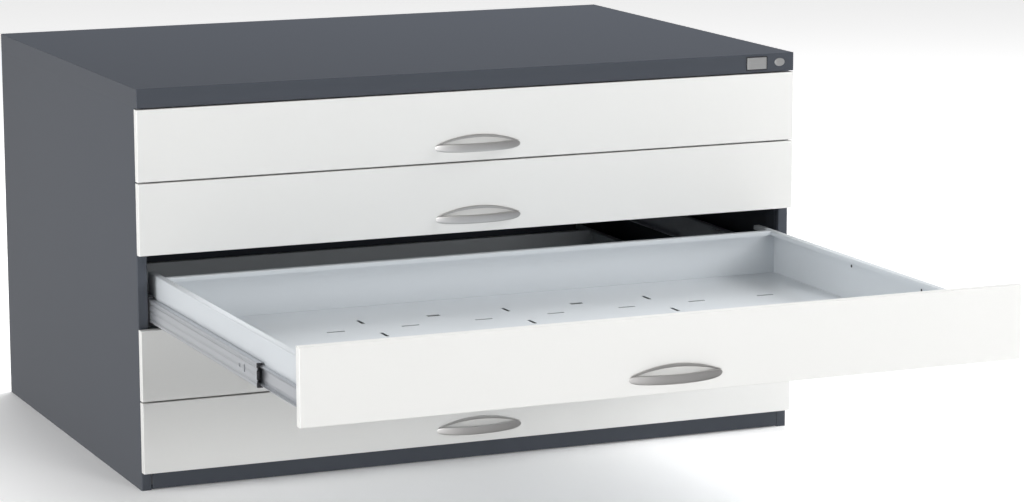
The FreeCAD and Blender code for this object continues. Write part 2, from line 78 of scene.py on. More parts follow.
# ---- node trees written as expressions ------------------------------------------------------------
class Value:
    """A number carried by a node socket, so that maths on it is written as Python."""

    def __init__(self, tree: "Tree", socket: bpy.types.NodeSocket) -> None:
        """Keeps the tree that the maths nodes are added to, and the socket that gives the number."""
        self.tree = tree
        self.socket = socket

    def _maths(self, operation: str, first: object, second: object = None) -> "Value":
        """Adds one Math node.

        Args:
            operation: The node's operation.
            first: Its first number or value.
            second: Its second number or value, where it has one.

        Returns:
            The node's result.
        """
        inputs = {0: first} if second is None else {0: first, 1: second}
        return self.tree.value("ShaderNodeMath", {"operation": operation}, inputs)

    def __add__(self, other: object) -> "Value":
        """self + other."""
        return self._maths("ADD", self, other)

    def __radd__(self, other: object) -> "Value":
        """other + self."""
        return self._maths("ADD", other, self)

    def __sub__(self, other: object) -> "Value":
        """self - other."""
        return self._maths("SUBTRACT", self, other)

    def __rsub__(self, other: object) -> "Value":
        """other - self."""
        return self._maths("SUBTRACT", other, self)

    def __mul__(self, other: object) -> "Value":
        """self * other."""
        return self._maths("MULTIPLY", self, other)

    def __rmul__(self, other: object) -> "Value":
        """other * self."""
        return self._maths("MULTIPLY", other, self)

    def __truediv__(self, other: object) -> "Value":
        """self / other."""
        return self._maths("DIVIDE", self, other)

    def __rtruediv__(self, other: object) -> "Value":
        """other / self."""
        return self._maths("DIVIDE", other, self)

    def __pow__(self, other: object) -> "Value":
        """self ** other."""
        return self._maths("POWER", self, other)

    def __abs__(self) -> "Value":
        """abs(self)."""
        return self._maths("ABSOLUTE", self)

    def at_least(self, other: object) -> "Value":
        """The larger of the two."""
        return self._maths("MAXIMUM", self, other)

    def root(self) -> "Value":
        """Square root, with negative values taken as nothing."""
        return self._maths("SQRT", self.at_least(0.0))

    def sine(self) -> "Value":
        """Sine of an angle in radians."""
        return self._maths("SINE", self)

    def cosine(self) -> "Value":
        """Cosine of an angle in radians."""
        return self._maths("COSINE", self)

    def flattened(self, power: float) -> "Value":
        """The value's sign times its size to a power: squares off a circle's sine and cosine."""
        return self._maths("SIGN", self) * abs(self) ** power


class Tree:
    """Node tree of a material or of Geometry Nodes, to which every node is added by one method."""

    def __init__(self, nodes: bpy.types.NodeTree) -> None:
        """Keeps the Blender node tree."""
        self.nodes = nodes

    def node(self, kind: str, settings: dict | None = None, inputs: dict | None = None) -> bpy.types.Node:
        """Adds one node.

        Args:
            kind: The node's type.
            settings: Its properties, set first.
            inputs: Its sockets by name or place, each a link, a Value or a plain value.

        Returns:
            The new node.
        """
        new = self.nodes.nodes.new(kind)
        for name, value in (settings or {}).items():
            setattr(new, name, value)
        for name, value in (inputs or {}).items():
            self.feed(new.inputs[name], value)
        return new

    def feed(self, socket: bpy.types.NodeSocket, value: object) -> None:
        """Links a Value or a socket to an input, or sets a plain value on it."""
        if isinstance(value, Value):
            self.nodes.links.new(value.socket, socket)
        elif isinstance(value, bpy.types.NodeSocket):
            self.nodes.links.new(value, socket)
        else:
            socket.default_value = value

    def value(self, kind: str, settings: dict | None = None, inputs: dict | None = None) -> Value:
        """Adds a node as node() does, and returns its first output as a Value."""
        return Value(self, self.node(kind, settings, inputs).outputs[0])


class MaterialTree(Tree):
    """Node tree of one material, with the patterns that the finishes share."""

    def __init__(self, material: bpy.types.Material) -> None:
        """Empties the material's node tree and reads object coordinates once."""
        material.use_nodes = True
        material.node_tree.nodes.clear()
        super().__init__(material.node_tree)
        self.place = self.node("ShaderNodeTexCoord").outputs["Object"]

    def noise(self, scale: float, detail: float = 2.0, stretch: Colour = (1.0, 1.0, 1.0)) -> Value:
        """Noise on object coordinates.

        Args:
            scale: Cycles to the metre.
            detail: Number of finer octaves.
            stretch: Factor on each coordinate, under 1 to draw the noise out along it.

        Returns:
            The noise, about 0.5 on average.
        """
        mapping = self.node("ShaderNodeMapping", {}, {"Vector": self.place, "Scale": stretch})
        inputs = {"Vector": mapping.outputs[0], "Scale": scale, "Detail": detail}
        return self.value("ShaderNodeTexNoise", {}, inputs)

    def blend(self, factor: object, first: object, second: object) -> bpy.types.NodeSocket:
        """Mixes two colours.

        Args:
            factor: Share of the second colour.
            first: First colour, plain or linked.
            second: Second colour, plain or linked.

        Returns:
            The mixed colour's socket.
        """
        mix = self.nodes.nodes.new("ShaderNodeMix")
        mix.data_type = "RGBA"
        by_name = {socket.identifier: socket for socket in mix.inputs}
        for name, value in (("Factor_Float", factor), ("A_Color", first), ("B_Color", second)):
            self.feed(by_name[name], (*value, 1.0) if isinstance(value, tuple) else value)
        return next(socket for socket in mix.outputs if socket.identifier == "Result_Color")

    def bump(self, height: Value, distance: float, strength: float = 1.0) -> bpy.types.NodeSocket:
        """Normal of a surface raised by a height from 0 to 1 times a distance in metres."""
        inputs = {"Height": height, "Distance": distance, "Strength": strength}
        return self.node("ShaderNodeBump", {}, inputs).outputs[0]

    def surface(self, inputs: dict) -> None:
        """Ends the tree in a Principled shader with the given inputs."""
        shader = self.node("ShaderNodeBsdfPrincipled", {}, inputs)
        self.node("ShaderNodeOutputMaterial", {}, {"Surface": shader.outputs[0]})


# ---- finishes -------------------------------------------------------------------------------------
def shade(colour: Colour, factor: float) -> Colour:
    """Colour with each channel multiplied by a factor, kept under 1."""
    return tuple(min(channel * factor, 1.0) for channel in colour)


@dataclass(frozen=True)
class Finish:
    """A surface finish; the material is made once and shared by every piece that has it."""

    name: str
    slot: str
    colour: Colour

    def material(self) -> bpy.types.Material:
        """The finish's material, made the first time that it is asked for."""
        known = bpy.data.materials.get(self.name)
        if known is not None:
            return known
        material = bpy.data.materials.new(self.name)
        self.build(MaterialTree(material))
        return material

    def build(self, tree: MaterialTree) -> None:
        """Adds the finish's nodes to an empty tree."""
        raise NotImplementedError


@dataclass(frozen=True)
class PowderCoat(Finish):
    """Baked powder coat: a satin skin with a fine orange peel and a very slight unevenness."""

    roughness: float = 0.5
    sheen_level: float = 0.5
    peel_height: float = 0.00006
    peel_scale: float = 900.0
    unevenness: float = 0.05
    fleck: float = 0.05

    def build(self, tree: MaterialTree) -> None:
        """Tone from slow clouds and fine flecks, roughness and bump from the orange peel."""
        clouds = tree.noise(2.3, detail=3.0)
        flecks = tree.noise(self.peel_scale * 1.9, detail=1.0)
        peel = tree.noise(self.peel_scale, detail=1.5)
        tone = 0.5 + (clouds - 0.5) * 1.6 + (flecks - 0.5) * (self.fleck / self.unevenness)
        low = shade(self.colour, 1.0 - self.unevenness)
        high = shade(self.colour, 1.0 + self.unevenness)
        rough = self.roughness + (clouds - 0.5) * 0.10 + (peel - 0.5) * 0.08
        tree.surface({
            "Base Color": tree.blend(tone, low, high),
            "Roughness": rough,
            "Specular IOR Level": self.sheen_level,
            "Normal": tree.bump(peel, self.peel_height),
        })


@dataclass(frozen=True)
class ZincPlate(Finish):
    """Bright zinc on roll-formed strip: drawn-out roller lines along Y and a faint cloudiness."""

    roughness: float = 0.2

    def build(self, tree: MaterialTree) -> None:
        """Metal whose tone and gloss follow fine lines drawn out along the rail."""
        lines = tree.noise(420.0, detail=3.0, stretch=(1.0, 0.012, 1.0))
        clouds = tree.noise(38.0, detail=3.0, stretch=(1.0, 0.35, 1.0))
        tone = 0.5 + (lines - 0.5) * 1.2 + (clouds - 0.5) * 0.9
        tree.surface({
            "Base Color": tree.blend(tone, shade(self.colour, 0.86), shade(self.colour, 1.12)),
            "Metallic": 1.0,
            "Roughness": self.roughness + (lines - 0.5) * 0.18 + (clouds - 0.5) * 0.12,
            "Normal": tree.bump(lines, 0.00002),
        })


@dataclass(frozen=True)
class SatinCast(Finish):
    """Satin silver casting, finely brushed along its length."""

    roughness: float = 0.36

    def build(self, tree: MaterialTree) -> None:
        """Metal with brush lines along X and a fine tumbled grain."""
        brush = tree.noise(1500.0, detail=2.0, stretch=(0.02, 1.0, 1.0))
        grain = tree.noise(2600.0, detail=1.0)
        tone = 0.5 + (brush - 0.5) * 0.9 + (grain - 0.5) * 0.5
        tree.surface({
            "Base Color": tree.blend(tone, shade(self.colour, 0.90), shade(self.colour, 1.10)),
            "Metallic": 1.0,
            "Roughness": self.roughness + (brush - 0.5) * 0.16,
            "Normal": tree.bump(brush * 0.6 + grain * 0.4, 0.00002),
        })


@dataclass(frozen=True)
class MouldedPlastic(Finish):
    """Moulded plastic with the fine spark grain of its tool."""

    roughness: float = 0.5

    def build(self, tree: MaterialTree) -> None:
        """Dark plastic whose gloss and bump follow a fine grain."""
        grain = tree.noise(1800.0, detail=2.0)
        clouds = tree.noise(60.0, detail=2.0)
        tree.surface({
            "Base Color": tree.blend(clouds, shade(self.colour, 0.8), shade(self.colour, 1.35)),
            "Roughness": self.roughness + (grain - 0.5) * 0.25,
            "Normal": tree.bump(grain, 0.00003),
        })


@dataclass(frozen=True)
class GroundPaper(Finish):
    """Seamless pale studio floor, faintly uneven, with painted light: it glows more with distance from the
    object.
    """

    dim_radius: float = 1.5
    glow_rise: float = 0.4
    glow: float = 0.5
    near_glow_colour: Colour = (0.1, 0.1, 0.1)

    def build(self, tree: MaterialTree) -> None:
        """Matt white with a very faint cloud, and painted light: a glow that is dim within a radius and rises
        beyond it.
        """
        clouds = tree.noise(0.7, detail=2.0)
        split = tree.node("ShaderNodeSeparateXYZ", {}, {0: tree.place})
        across, deep = (Value(tree, socket) for socket in split.outputs[:2])
        distance = (across * across + deep * deep).root()
        away = ((distance - self.dim_radius) * self.glow_rise).at_least(0.0)
        tree.surface({
            "Base Color": tree.blend(clouds, shade(self.colour, 0.99), self.colour),
            "Roughness": 0.9,
            "Specular IOR Level": 0.1,
            # painted light: emission that is dim near the object and whitens the floor away from it
            "Emission Color": tree.blend(away, self.near_glow_colour, (1.0, 1.0, 1.0)),
            "Emission Strength": self.glow,
        })


BODY_PAINT = PowderCoat("body_paint", "body_paint", (0.018, 0.0225, 0.028), roughness=0.58, sheen_level=0.03)
FRONT_PAINT = PowderCoat("front_paint", "front_paint", (0.86, 0.86, 0.845), roughness=0.5, unevenness=0.02,
                         fleck=0.015)
BOX_PAINT = PowderCoat("box_paint", "box_paint", (0.53, 0.555, 0.58), roughness=0.42, unevenness=0.025,
                       fleck=0.015)
STRUCTURE_PAINT = PowderCoat("structure_paint", "structure_paint", (0.03, 0.033, 0.04), roughness=0.7,
                             sheen_level=0.2)
BRIGHT_ZINC = ZincPlate("bright_zinc", "bright_zinc", (0.78, 0.80, 0.83))
BALL_STEEL = ZincPlate("ball_steel", "bright_zinc", (0.80, 0.80, 0.80), roughness=0.15)
SATIN_METAL = SatinCast("satin_metal", "satin_metal", (0.62, 0.61, 0.60))
PLATE_FIELD = SatinCast("plate_field", "satin_metal", (0.82, 0.82, 0.82), roughness=0.45)
DARK_PLASTIC = MouldedPlastic("dark_plastic", "dark_plastic", (0.02, 0.02, 0.022))
FLOOR_PAPER = GroundPaper("floor_paper", "", (0.93, 0.93, 0.93))


# ---- mesh building --------------------------------------------------------------------------------
def rounded_path(corners: Sequence[Point2], radius: float, steps: int = 5) -> list[Point2]:
    """Open line through the corners, with each bend turned into an arc.

    Args:
        corners: The line's corners, in order.
        radius: Radius of the bends, made smaller where a straight is too short for it.
        steps: Number of chords in each arc.

    Returns:
        The points of the rounded line.
    """
    points = [Vector(corner) for corner in corners]
    line = [points[0]]
    for before, corner, after in zip(points, points[1:], points[2:]):
        inward = (corner - before).normalized()
        outward = (after - corner).normalized()
        turn = inward.angle_signed(outward)
        reach = radius * math.tan(abs(turn) / 2)
        limit = 0.48 * min((corner - before).length, (after - corner).length)
        scale = min(1.0, limit / reach) if reach > 0 else 1.0
        start = corner - inward * reach * scale
        end = corner + outward * reach * scale
        for step in range(steps + 1):
            t = step / steps
            weight = math.cos(abs(turn) / 2)
            a, b, c = (1 - t) ** 2, 2 * t * (1 - t) * weight, t ** 2
            line.append((start * a + corner * b + end * c) / (a + b + c))
    line.append(points[-1])
    return [(point.x, point.y) for point in line]


class Shell:
    """Gathers the vertices and faces of one piece."""

    def __init__(self) -> None:
        """Starts with an empty mesh."""
        self.mesh = bmesh.new()

    def rings(self, rings: Sequence[Sequence[Vector]], closed_ring: bool = True) -> None:
        """Skins a row of equal rings and closes both ends.

        Args:
            rings: Rings of points, each with the same number of points.
            closed_ring: Whether the last point of a ring joins its first.
        """
        rows = [[self.mesh.verts.new(point) for point in ring] for ring in rings]
        count = len(rows[0])
        for near, far in zip(rows, rows[1:]):
            for i in range(count if closed_ring else count - 1):
                j = (i + 1) % count
                self.mesh.faces.new((near[i], near[j], far[j], far[i]))
        for row in (rows[0], rows[-1]):
            self.mesh.faces.new(row)

    def sheet(self, path: Sequence[Point2], thickness: float, axis: Axis, span: Point2) -> None:
        """Bent sheet metal: a section that follows a line, drawn out along an axis.

        Args:
            path: Middle line of the section.
            thickness: Thickness of the sheet.
            axis: Axis that the section is drawn out along.
            span: Where it starts and ends on that axis.
        """
        points = [Vector(point) for point in path]
        sides: list[list[Vector]] = [[], []]
        for i, point in enumerate(points):
            before = (point - points[max(i - 1, 0)]).normalized()
            after = (points[min(i + 1, len(points) - 1)] - point).normalized()
            along = (before + after).normalized()
            straight = after if i == 0 else before
            half = thickness / 2 / max(along.dot(straight), 0.5)
            normal = Vector((-along.y, along.x))
            sides[0].append(point + normal * half)
            sides[1].append(point - normal * half)
        ends = []
        for along in span:
            ends.append([[self.mesh.verts.new(axis.point(along, p)) for p in side] for side in sides])
        for k in range(len(points) - 1):
            for side in (0, 1):
                near, far = ends[0][side], ends[1][side]
                self.mesh.faces.new((near[k], near[k + 1], far[k + 1], far[k]))
            for end in ends:
                self.mesh.faces.new((end[0][k], end[0][k + 1], end[1][k + 1], end[1][k]))
        for k in (0, len(points) - 1):
            self.mesh.faces.new((ends[0][0][k], ends[0][1][k], ends[1][1][k], ends[1][0][k]))

    def prism(self, outline: Sequence[Point2], axis: Axis, span: Point2) -> None:
        """Solid with a closed outline, drawn out along an axis between two places."""
        self.rings([[axis.point(along, point) for point in outline] for along in span])

    def chamfered(self, outline: Sequence[Point2], axis: Axis, span: Point2, chamfer: float) -> None:
        """Prism whose far end is drawn in by a small chamfer.

        Args:
            outline: Closed outline, convex.
            axis: Axis that it is drawn out along.
            span: The near end, which stays square, and the far end.
            chamfer: Size of the chamfer.
        """
        centre = sum((Vector(point) for point in outline), Vector((0.0, 0.0))) / len(outline)
        reach = max((Vector(point) - centre).length for point in outline)
        small = [tuple(centre + (Vector(point) - centre) * (1 - chamfer / reach)) for point in outline]
        step = math.copysign(chamfer, span[1] - span[0])
        places = ((span[0], outline), (span[1] - step, outline), (span[1], small))
        self.rings([[axis.point(along, point) for point in ring] for along, ring in places])

    def object(self, name: str) -> bpy.types.Object:
        """Turns what was gathered into an object with outward normals and crisp folds."""
        bmesh.ops.remove_doubles(self.mesh, verts=self.mesh.verts, dist=1e-7)
        bmesh.ops.recalc_face_normals(self.mesh, faces=self.mesh.faces)
        mesh = bpy.data.meshes.new(name)
        self.mesh.to_mesh(mesh)
        self.mesh.free()
        return self.wrap(name, mesh)

    @staticmethod
    def wrap(name: str, mesh: bpy.types.Mesh, sharp_degrees: float = 35.0) -> bpy.types.Object:
        """Object at the origin for a mesh, smooth but for its sharp edges."""
        mesh.polygons.foreach_set("use_smooth", [True] * len(mesh.polygons))
        mesh.set_sharp_from_angle(angle=math.radians(sharp_degrees))
        piece = bpy.data.objects.new(name, mesh)
        bpy.context.scene.collection.objects.link(piece)
        return piece


def circle(centre: Point2, radius: float, count: int = 24) -> list[Point2]:
    """Points of a circle."""
    turns = [2 * math.pi * i / count for i in range(count)]
    return [(centre[0] + radius * math.cos(t), centre[1] + radius * math.sin(t)) for t in turns]


def rectangle(low: Point2, high: Point2) -> list[Point2]:
    """Corners of a rectangle."""
    return [low, (high[0], low[1]), high, (low[0], high[1])]


def rounded_rectangle(low: Point2, high: Point2, radius: float) -> list[Point2]:
    """Outline of a rectangle with rounded corners."""
    middle = ((low[0] + high[0]) / 2, low[1])
    corners = [middle, (high[0], low[1]), high, (low[0], high[1]), low, middle]
    return rounded_path(corners, radius)[:-1]


def flattened(piece: bpy.types.Object) -> bpy.types.Mesh:
    """Plain mesh of a piece as its modifiers leave it."""
    graph = bpy.context.evaluated_depsgraph_get()
    return bpy.data.meshes.new_from_object(piece.evaluated_get(graph), depsgraph=graph)


def drilled(piece: bpy.types.Object, cutters: Shell) -> bpy.types.Object:
    """Cuts a set of closed cutters out of a piece.

    Args:
        piece: The piece to be cut, which is used up.
        cutters: The solids to be taken away.

    Returns:
        A new piece of the same name.
    """
    name = piece.name
    tool = cutters.object(name + "_cutters")
    cut = piece.modifiers.new("cut", "BOOLEAN")
    cut.operation = "DIFFERENCE"
    cut.solver = "EXACT"
    cut.object = tool
    mesh = flattened(piece)
    bpy.data.objects.remove(piece)
    bpy.data.objects.remove(tool)
    return Shell.wrap(name, mesh)


def dress(piece: bpy.types.Object, finish: Finish, body: str, *replaced: str) -> bpy.types.Object:
    """Gives a new piece its finish and its body, and hides the nodes that it stands for."""
    if not piece.data.materials:
        piece.data.materials.append(finish.material())
    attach(piece, body)
    if replaced:
        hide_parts(*replaced)
    log.info("%s: %d faces on %s", piece.name, len(piece.data.polygons), body)
    return piece


def repaint(node: str, finish: Finish) -> None:
    """Gives a CAD node its finish."""
    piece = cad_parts[node]
    piece.data.materials.clear()
    piece.data.materials.append(finish.material())
    log.info("%s keeps its shape, in %s", node, finish.name)


# ---- geometry nodes -------------------------------------------------------------------------------
class GeometryTree(Tree):
    """Geometry Nodes tree with named inputs, which ends in Realize Instances and Set Material."""

    def __init__(self, name: str, inputs: dict[str, str]) -> None:
        """Makes the tree.

        Args:
            name: Name of the tree.
            inputs: Socket type of each named input.
        """
        super().__init__(bpy.data.node_groups.new(name, "GeometryNodeTree"))
        self.identifiers: dict[str, str] = {}
        for label, kind in inputs.items():
            item = self.nodes.interface.new_socket(label, in_out="INPUT", socket_type="NodeSocket" + kind)
            self.identifiers[label] = item.identifier
        material = self.nodes.interface.new_socket("Material", in_out="INPUT",
                                                   socket_type="NodeSocketMaterial")
        self.identifiers["Material"] = material.identifier
        self.nodes.interface.new_socket("Geometry", in_out="OUTPUT", socket_type="NodeSocketGeometry")
        self.group_input = self.node("NodeGroupInput")

    def given(self, label: str) -> Value:
        """The named input as a Value."""
        return Value(self, self.group_input.outputs[label])

    def vector(self, x: object, y: object, z: object) -> bpy.types.NodeSocket:
        """Vector put together from three numbers or values."""
        return self.node("ShaderNodeCombineXYZ", {}, {"X": x, "Y": y, "Z": z}).outputs[0]

    def arrange(self, operation: str, first: object, second: object) -> bpy.types.NodeSocket:
        """Result of one Vector Math node; SCALE takes a vector and a number."""
        node = self.node("ShaderNodeVectorMath", {"operation": operation}, {0: first})
        self.feed(node.inputs["Scale"] if operation == "SCALE" else node.inputs[1], second)
        return node.outputs[0]

    def close(self, geometry: bpy.types.NodeSocket) -> None:
        """Ends the tree."""
        smooth = self.node("GeometryNodeSetShadeSmooth", {}, {"Geometry": geometry}).outputs[0]
        real = self.node("GeometryNodeRealizeInstances", {}, {"Geometry": smooth}).outputs[0]
        inputs = {"Geometry": real, "Material": self.given("Material")}
        painted = self.node("GeometryNodeSetMaterial", {}, inputs).outputs[0]
        self.node("NodeGroupOutput", {}, {"Geometry": painted})

    def grown(self, name: str, finish: Finish, sizes: dict[str, object]) -> bpy.types.Mesh:
        """Runs the tree once.

        Args:
            name: Name of the mesh.
            finish: Finish of the surface.
            sizes: Value of each named input.

        Returns:
            The plain mesh.
        """
        seed = bpy.data.objects.new(name, bpy.data.meshes.new(name))
        bpy.context.scene.collection.objects.link(seed)
        modifier = seed.modifiers.new("grow", "NODES")
        modifier.node_group = self.nodes
        for label, value in {**sizes, "Material": finish.material()}.items():
            modifier[self.identifiers[label]] = value
        mesh = flattened(seed)
        bpy.data.objects.remove(seed)
        return mesh


class CrescentTree(GeometryTree):
    """Bars of crescent shape: a straight foot line, an outer arc, an inner arc and a squared section."""

    ALONG = 81
    AROUND = 29
    END_POWER = 9.0

    def __init__(self) -> None:
        """Builds the band and the rim of a bow handle."""
        names = ("Half Length", "Outer Rise", "Inner Half Length", "Inner Rise", "Half Width", "Squareness")
        inputs = {f"{part} {name}": "Float" for part in ("Band", "Rim") for name in names}
        super().__init__("bow_handle", {**inputs, "Band Centre": "Vector", "Rim Centre": "Vector"})
        band = self.crescent("Band", (0.0, -1.0, 0.0), (0.0, 0.0, 1.0))
        rim = self.crescent("Rim", (0.0, 0.0, 1.0), (0.0, -1.0, 0.0))
        join = self.node("GeometryNodeJoinGeometry")
        for part in (rim, band):
            self.nodes.links.new(part, join.inputs[0])
        self.close(join.outputs[0])

    def arc_height(self, across: Value, half_chord: Value, rise: Value) -> Value:
        """Height of a circular arc above its chord, and nothing beyond the chord's ends."""
        radius = (half_chord * half_chord + rise * rise) / (rise * 2.0)
        return ((radius * radius - across * across).root() - (radius - rise)).at_least(0.0)

    def crescent(self, part: str, rise: Colour, width: Colour) -> bpy.types.NodeSocket:
        """One crescent bar.

        Args:
            part: Prefix of its named inputs.
            rise: Direction that the arcs rise in.
            width: Direction of the bar's width.

        Returns:
            Its closed mesh.
        """
        size = {name: self.given(f"{part} {name}") for name in
                ("Half Length", "Outer Rise", "Inner Half Length", "Inner Rise", "Half Width", "Squareness")}
        grid = self.node("GeometryNodeMeshGrid", {}, {
            "Size X": 1.0, "Size Y": 1.0, "Vertices X": self.ALONG, "Vertices Y": self.AROUND})
        place = self.node("GeometryNodeInputPosition").outputs[0]
        split = self.node("ShaderNodeSeparateXYZ", {}, {0: place})
        share = (Value(self, split.outputs[0]) * math.pi).sine()
        angle = Value(self, split.outputs[1]) * (2 * math.pi)
        across = share * size["Half Length"]
        outer = self.arc_height(across, size["Half Length"], size["Outer Rise"])
        inner = self.arc_height(across, size["Inner Half Length"], size["Inner Rise"])
        taper = (1.0 - abs(share) ** self.END_POWER).root()
        risen = (outer + inner) * 0.5 + (outer - inner) * 0.5 * angle.cosine().flattened(size["Squareness"])
        wide = size["Half Width"] * taper * angle.sine().flattened(size["Squareness"])
        shape = self.arrange("ADD", self.arrange("SCALE", rise, risen), self.arrange("SCALE", width, wide))
        shape = self.arrange("ADD", shape, self.vector(across, 0.0, 0.0))
        shape = self.arrange("ADD", shape, self.given(f"{part} Centre"))
        moved = self.node("GeometryNodeSetPosition", {}, {"Geometry": grid.outputs[0], "Position": shape})
        merge = {"Geometry": moved.outputs[0], "Distance": 0.00002}
        return self.node("GeometryNodeMergeByDistance", {}, merge).outputs[0]


class HeadsTree(GeometryTree):
    """Equal small heads set out in a grid of up to three directions."""

    SEGMENTS = 8
    RINGS = 6
    DIRECTIONS = ("Along", "Up", "Across")

    def __init__(self) -> None:
        """Builds the tree: a head, a row of heads, and copies of the row upwards and across."""
        inputs = {"Centre": "Vector", "Radius": "Float", "Head Shape": "Vector"}
        for direction in self.DIRECTIONS:
            inputs.update({f"{direction} Step": "Vector", f"{direction} Count": "Int"})
        super().__init__("grid_of_heads", inputs)
        head = self.node("GeometryNodeMeshUVSphere", {}, {
            "Segments": self.SEGMENTS, "Rings": self.RINGS, "Radius": self.given("Radius")}).outputs[0]
        shape = {"Geometry": head, "Scale": self.given("Head Shape")}
        heads = self.node("GeometryNodeTransform", {}, shape).outputs[0]
        for direction in self.DIRECTIONS:
            count = self.given(f"{direction} Count")
            step = self.given(f"{direction} Step")
            start = self.arrange("SCALE", step, (count - 1.0) * -0.5)
            line = {"Count": count, "Start Location": start, "Offset": step}
            points = self.node("GeometryNodeMeshLine", {}, line).outputs[0]
            copies = {"Points": points, "Instance": heads}
            heads = self.node("GeometryNodeInstanceOnPoints", {}, copies).outputs[0]
        move = {"Geometry": heads, "Translation": self.given("Centre")}
        self.close(self.node("GeometryNodeTransform", {}, move).outputs[0])


# ---- sizes taken from the frame -------------------------------------------------------------------
@dataclass(frozen=True)
class NodeBox:
    """Lowest and highest corner of a CAD node at rest."""

    low: Vector
    high: Vector

    @classmethod
    def of(cls, node: str) -> "NodeBox":
        """Box of a node by its name."""
        low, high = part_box(node)
        return cls(Vector(low), Vector(high))


# ---- carcass --------------------------------------------------------------------------------------
@dataclass
class Carcass:
    """The fixed cabinet: folded side panels, top, back, base, plinth, rails, rivets and plates."""

    body: str = "cabinet"
    sheet: float = 1.2 * MM
    bend: float = 1.6 * MM
    post_width: float = 20.0 * MM
    post_lip: float = 12.0 * MM
    rear_flange: float = 35.0 * MM
    foot_flange: float = 18.0 * MM
    rivet_radius: float = 3.2 * MM
    rivet_height: float = 1.0 * MM
    rivet_inset: float = 14.0 * MM
    rivets_in_a_row: int = 7

    def build(self, rows: HeadsTree) -> None:
        """Builds every fixed piece and dresses the nodes that stay."""
        for side, name in zip(SIDES, ("left", "right")):
            self.side_panel(side, name)
        for node in ("top_cover", "back_panel", "plinth_panel"):
            repaint(node, BODY_PAINT)
        for node in ("top_stiffeners", "base_panel", "uprights"):
            repaint(node, STRUCTURE_PAINT)
        repaint("levelling_feet", DARK_PLASTIC)
        self.rear_rivets(rows)
        self.framed_plate()
        self.oval_plate()

    def side_panel(self, side: int, name: str) -> None:
        """Side sheet folded round as front post and rear flange, with a flange along the floor.

        Args:
            side: -1 for the left panel, 1 for the right.
            name: The panel's name within its node's name.
        """
        node = f"side_panel_{name}"
        box = NodeBox.of(node)
        half = self.sheet / 2
        outer = max(abs(box.low.x), abs(box.high.x))
        front, back = box.low.y + half, box.high.y - half
        post = outer - self.post_width + half
        corners = [(post, box.low.y + self.post_lip), (post, front), (outer - half, front),
                   (outer - half, back), (outer - self.rear_flange, back)]
        shell = Shell()
        path = rounded_path([(side * x, y) for x, y in corners], self.bend)
        shell.sheet(path, self.sheet, Axis.Z, (box.low.z, box.high.z))
        foot = [(side * (outer - self.foot_flange), half), (side * (outer - self.sheet), half)]
        shell.sheet(foot, self.sheet, Axis.Y, (box.low.y + self.post_lip, box.high.y - self.sheet))
        dress(shell.object(f"{node}_folded"), BODY_PAINT, self.body, node)

    def rear_rivets(self, rows: HeadsTree) -> None:
        """Rivets through the back panel, a row near its top edge and a row near its bottom edge."""
        panel = NodeBox.of("back_panel")
        width = panel.high.x - self.rear_flange - 2 * self.rivet_inset
        top = panel.high.z - self.rivet_inset
        bottom = panel.low.z + self.rivet_inset
        mesh = rows.grown("rear_rivets", BODY_PAINT, {
            "Centre": (0.0, panel.high.y, (top + bottom) / 2),
            "Radius": self.rivet_radius,
            "Head Shape": (1.0, self.rivet_height / self.rivet_radius, 1.0),
            "Along Step": (2 * width / (self.rivets_in_a_row - 1), 0.0, 0.0),
            "Along Count": self.rivets_in_a_row,
            "Up Step": (0.0, 0.0, top - bottom),
            "Up Count": 2,
            "Across Step": (0.0, 0.0, 0.0),
            "Across Count": 1,
        })
        dress(Shell.wrap("rear_rivets", mesh), BODY_PAINT, self.body)

    def framed_plate(self) -> None:
        """Blank oblong plate with a raised field, near the right end of the top's front edge."""
        top = NodeBox.of("top_cover")
        face = top.low.y
        right = top.high.x - 58.0 * MM
        low = (right - 46.0 * MM, top.low.z + 4.0 * MM)
        high = (right, top.high.z - 4.5 * MM)
        rim = 2.2 * MM
        frame_part = Shell()
        outline = rounded_rectangle(low, high, 1.5 * MM)
        frame_part.chamfered(outline, Axis.Y, (face, face - 0.8 * MM), 0.3 * MM)
        dress(frame_part.object("blank_plate_frame"), DARK_PLASTIC, self.body)
        field_part = Shell()
        outline = rounded_rectangle((low[0] + rim, low[1] + rim), (high[0] - rim, high[1] - rim), 0.8 * MM)
        field_part.chamfered(outline, Axis.Y, (face - 0.7 * MM, face - 1.1 * MM), 0.2 * MM)
        dress(field_part.object("blank_plate_field"), PLATE_FIELD, self.body)

    def oval_plate(self) -> None:
        """Blank oval button plate beside the oblong one."""
        top = NodeBox.of("top_cover")
        face = top.low.y
        centre = (top.high.x - 31.0 * MM, (top.low.z + top.high.z) / 2)
        outline = [(centre[0] + 11.0 * MM * math.cos(t), centre[1] + 8.0 * MM * math.sin(t))
                   for t in (2 * math.pi * i / 40 for i in range(40))]
        button = Shell()
        button.chamfered(outline, Axis.Y, (face, face - 1.0 * MM), 0.5 * MM)
        dress(button.object("blank_plate_oval"), PLATE_FIELD, self.body)


